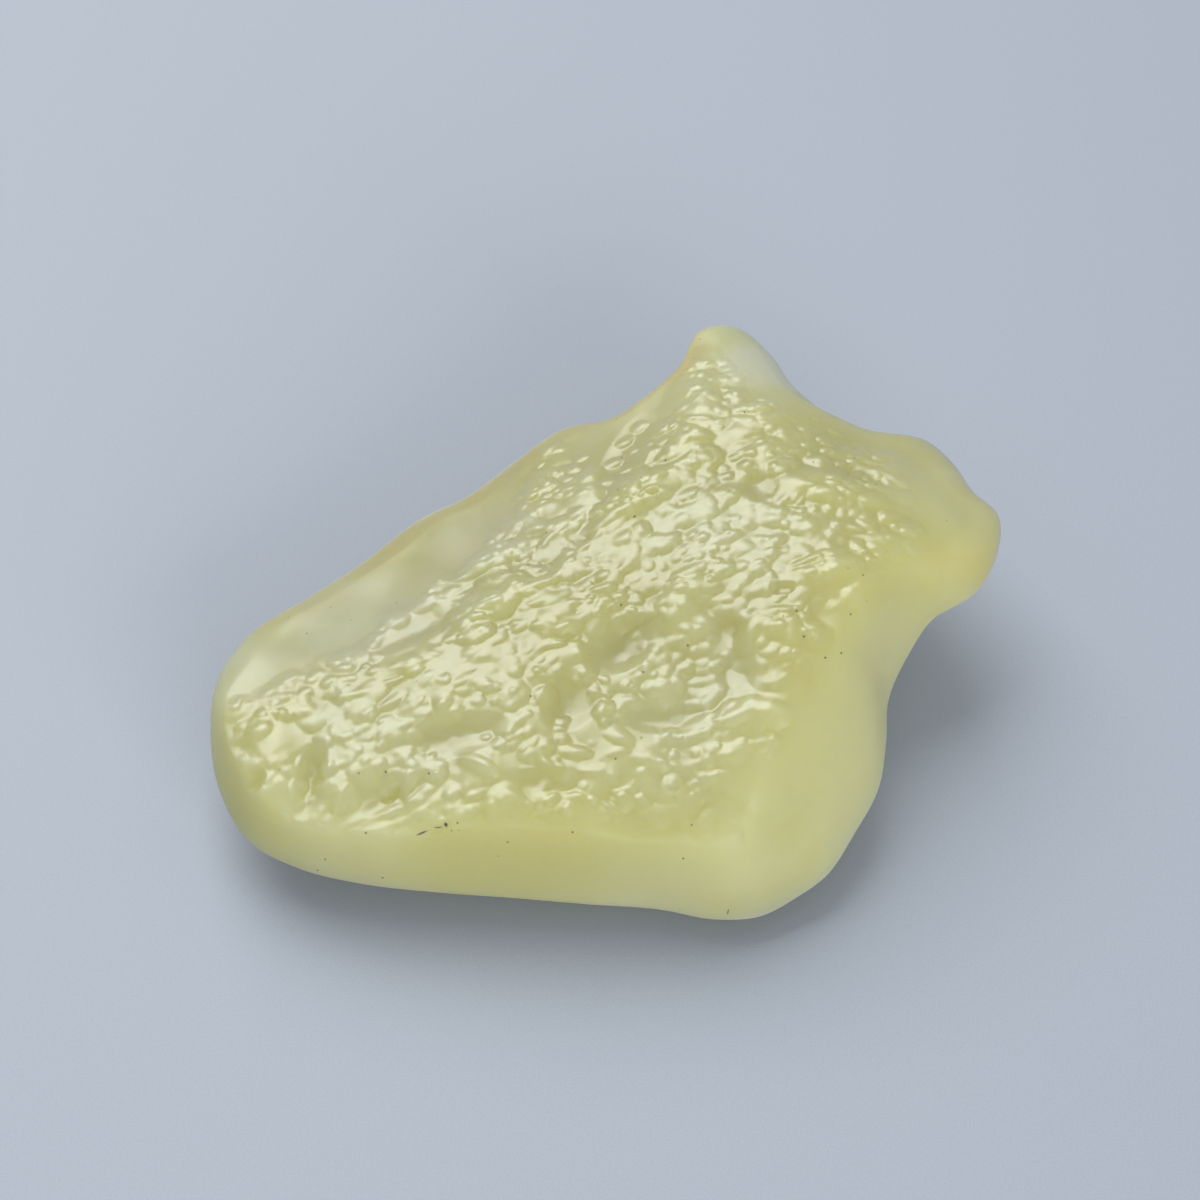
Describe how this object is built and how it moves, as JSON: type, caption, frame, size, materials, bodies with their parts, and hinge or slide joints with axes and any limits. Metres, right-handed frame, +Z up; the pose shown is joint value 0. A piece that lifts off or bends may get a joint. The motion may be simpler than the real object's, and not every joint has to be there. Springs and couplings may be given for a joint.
{
  "type": "libyan desert glass",
  "caption": "Wind-worn lump of milky yellow-green natural glass with a pebbled top, a pointed peak and a blunt knob, resting on a small flat.",
  "frame": {"origin": "on the ground under the middle of the stone's box", "axes": "+Z up from the resting flat, +X along the longest extent towards the blunt knob, +Y towards the pointed peak"},
  "size_m": [0.0434, 0.0372, 0.0122],
  "materials": {
    "desert_glass": "frosted by the wind, milky and translucent, silky sheen on the pebbled top"
  },
  "bodies": {
    "root": {"desert_glass": "desert_glass"}
  },
  "joints": []
}
